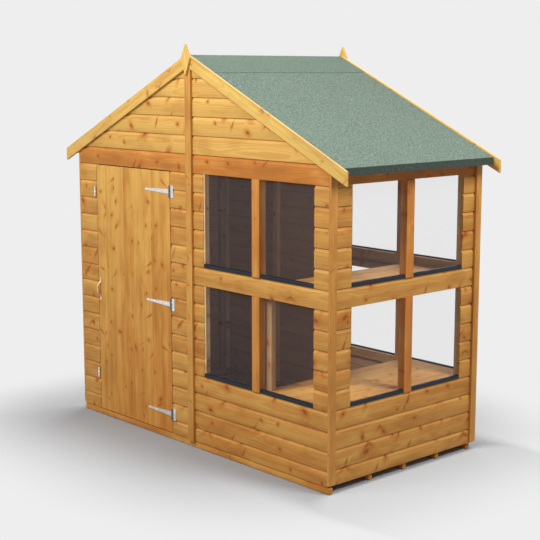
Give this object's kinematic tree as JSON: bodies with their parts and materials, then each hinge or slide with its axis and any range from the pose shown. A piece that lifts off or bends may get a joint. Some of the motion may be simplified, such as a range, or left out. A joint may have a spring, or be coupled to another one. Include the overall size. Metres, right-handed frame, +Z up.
{
  "type": "garden potting shed",
  "caption": "Apex timber potting shed with shiplap walls, square-paned windows on three sides, a hinged ledged door, green felt roof and a staging bench inside.",
  "frame": {"origin": "on the ground at the middle of the whole shed's outline", "axes": "+X to the right seen from the front, along the gable's width; +Y to the back, along the ridge; +Z up"},
  "size_m": [2.662, 1.342, 2.4814],
  "materials": {
    "cladding": "honey-dipped shiplap pine with knots",
    "gable_cladding": "paler honey-dipped shiplap pine",
    "trim": "planed pine, honey dip",
    "framing": "sawn and planed pine, dip stained",
    "floor": "planed pine boards on pine bearers",
    "roof_boards": "tongue and groove pine, untreated",
    "felt": "green mineral roofing felt",
    "glazing": "clear glazing sheet",
    "drip": "dark drip strip",
    "door": "upright tongue and groove pine with knots",
    "zinc": "bright zinc plate",
    "shelf": "planed pine shelf boards"
  },
  "bodies": {
    "shed": {"front_door_strips": "cladding", "front_apron": "cladding", "front_jambs": "cladding", "front_midrail": "cladding", "back_plain_wall": "cladding", "back_apron": "cladding", "back_jambs": "cladding", "back_midrail": "cladding", "right_apron": "cladding", "right_jambs": "cladding", "right_midrail": "cladding", "right_head": "cladding", "left_wall": "cladding", "front_door_gable": "gable_cladding", "front_window_gable": "gable_cladding", "back_window_gable": "gable_cladding", "window_mullions": "trim", "gable_battens": "trim", "corner_strips": "trim", "bargeboards_left": "trim", "bargeboards_right": "trim", "finials": "trim", "gable_posts": "framing", "gable_rails": "framing", "gable_rafters": "framing", "side_posts": "framing", "side_rails": "framing", "eaves_rails": "framing", "roof_purlins": "framing", "staging_bearers": "framing", "staging_posts": "framing", "floor_bearers": "floor", "floor_deck": "floor", "roof_boards_left": "roof_boards", "roof_boards_right": "roof_boards", "roof_felt_left": "felt", "roof_felt_right": "felt", "eaves_felt": "felt", "window_panes": "glazing", "drip_strips": "drip", "hinge_plates": "zinc", "staging_shelves": "shelf"},
    "door": {"door_boards": "door", "door_ledges": "framing", "door_braces": "framing", "hinge_straps": "zinc", "door_handle": "zinc"},
    "button_top": {"turn_button_top": "zinc"},
    "button_low": {"turn_button_low": "zinc"}
  },
  "joints": [
    {"name": "door_hinge", "type": "hinge", "parent": "shed", "child": "door", "pos_m": [-0.2035, -0.646, 0.878], "axis": [0, 0, 1], "range_deg": [0, 170]},
    {"name": "button_top_turn", "type": "hinge", "parent": "shed", "child": "button_top", "pos_m": [-1.012, -0.64, 1.532], "axis": [0, 1, 0], "range_deg": [0, 90]},
    {"name": "button_low_turn", "type": "hinge", "parent": "shed", "child": "button_low", "pos_m": [-1.012, -0.64, 0.296], "axis": [0, 1, 0], "range_deg": [0, 90]}
  ]
}
